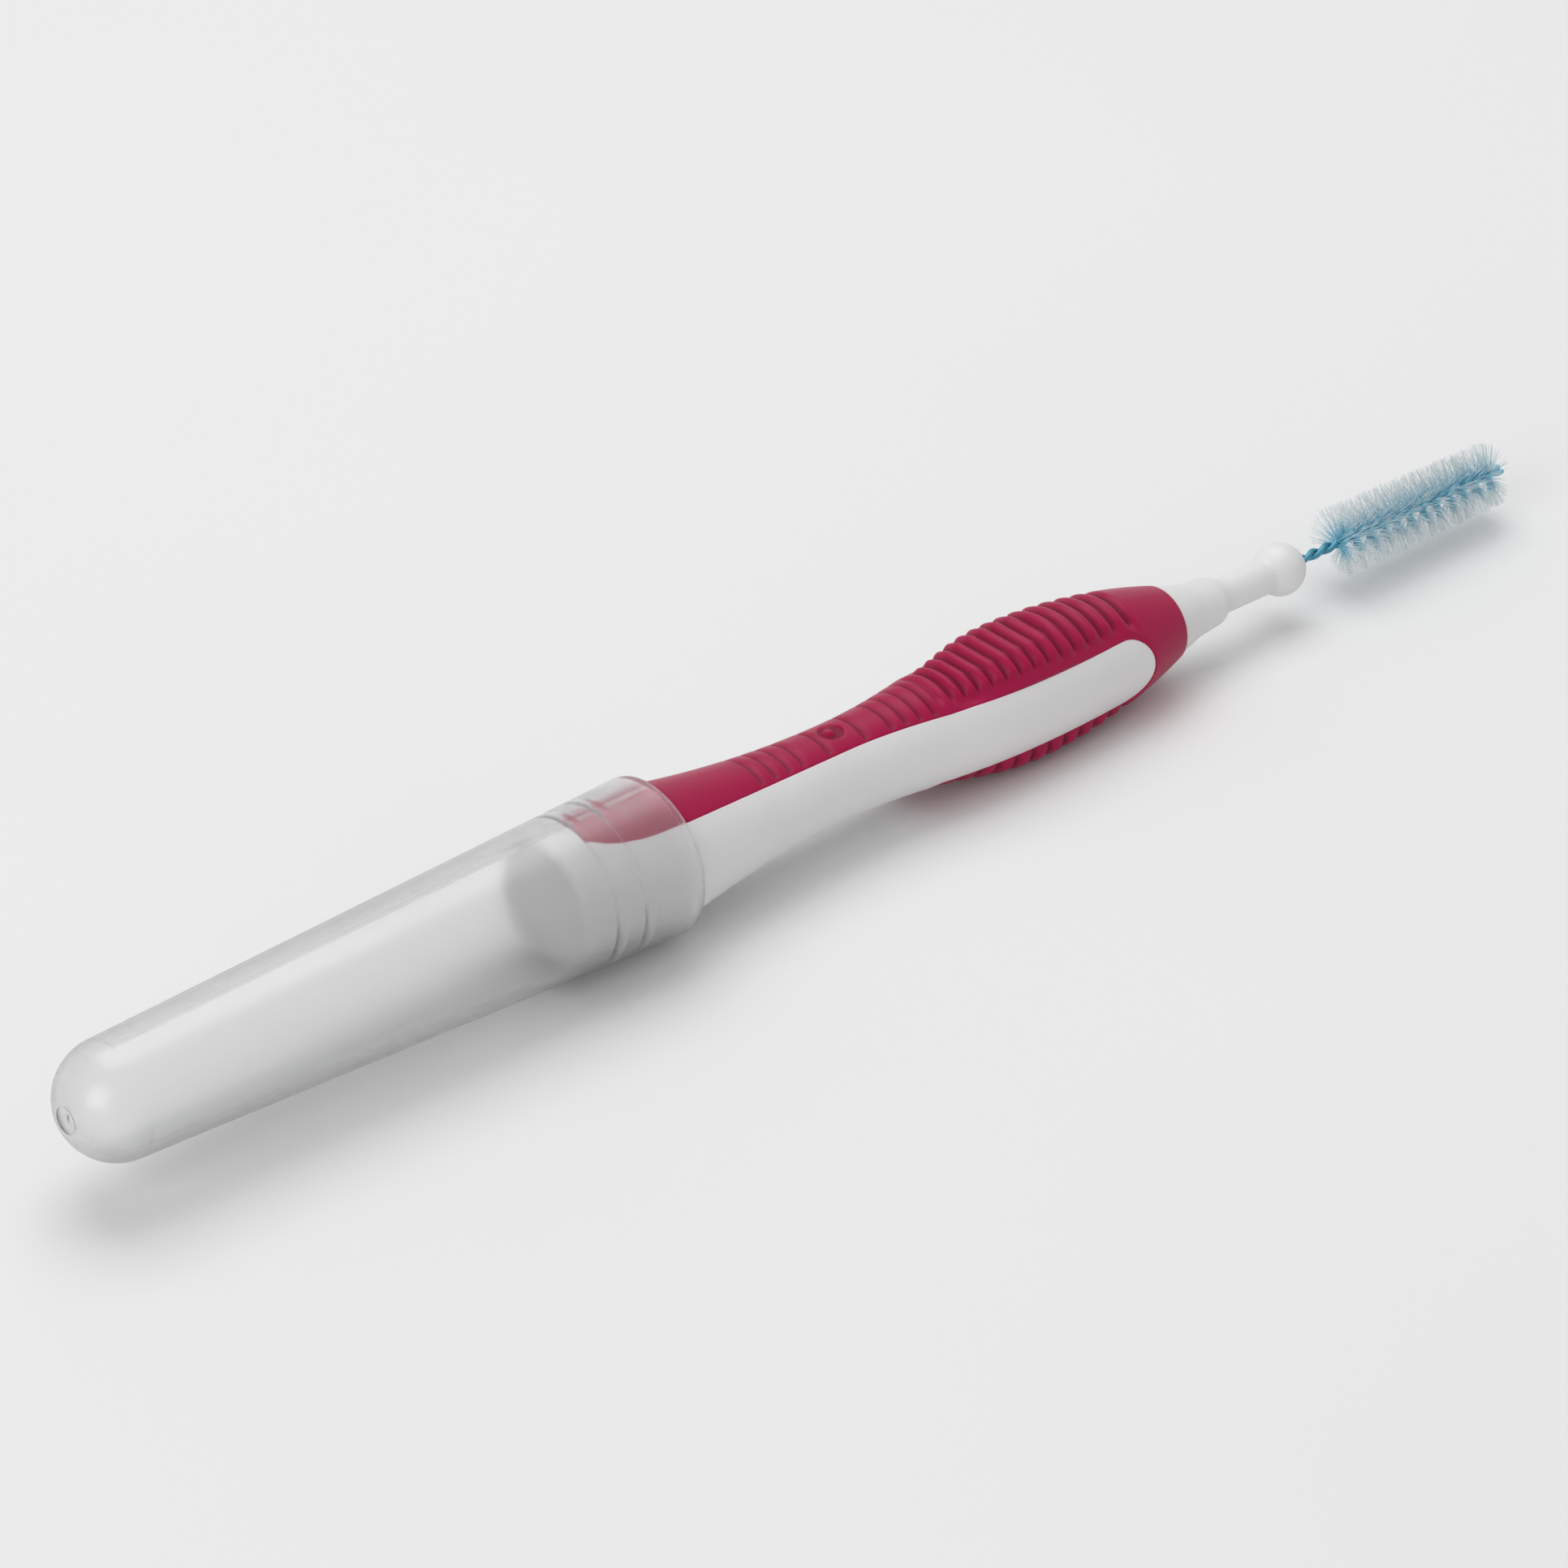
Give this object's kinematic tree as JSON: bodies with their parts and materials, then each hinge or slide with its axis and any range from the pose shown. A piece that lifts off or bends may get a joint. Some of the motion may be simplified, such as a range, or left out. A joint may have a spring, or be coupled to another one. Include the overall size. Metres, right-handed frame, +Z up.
{
  "type": "interdental brush",
  "caption": "Interdental brush with a waisted soft-grip handle, a twisted-wire brush head behind a ball tip and a tapered clear travel cap posted on the handle's tail.",
  "frame": {"origin": "under the middle of the object's length, level with the lowest point of the cap's mouth, as it lies on a table", "axes": "+X along the axis from the cap's dome to the brush tip, +Z up on the thumb pad's side, +Y to the left when looking towards the brush tip"},
  "size_m": [0.108, 0.0094, 0.0095],
  "materials": {
    "white_plastic": "satin moulded",
    "crimson_rubber": "soft satin",
    "coated_wire": "smooth coated",
    "filament": "translucent",
    "clear_plastic": "clear, slightly hazy"
  },
  "bodies": {
    "handle": {"handle_core": "white_plastic", "soft_grip": "crimson_rubber", "brush_wire": "coated_wire", "bristles": "filament"},
    "cap": {"travel_cap": "clear_plastic"}
  },
  "joints": [
    {"name": "cap_pull", "type": "slide", "parent": "handle", "child": "cap", "axis": [-1, 0, 0], "range_m": [0, 0.02]}
  ]
}
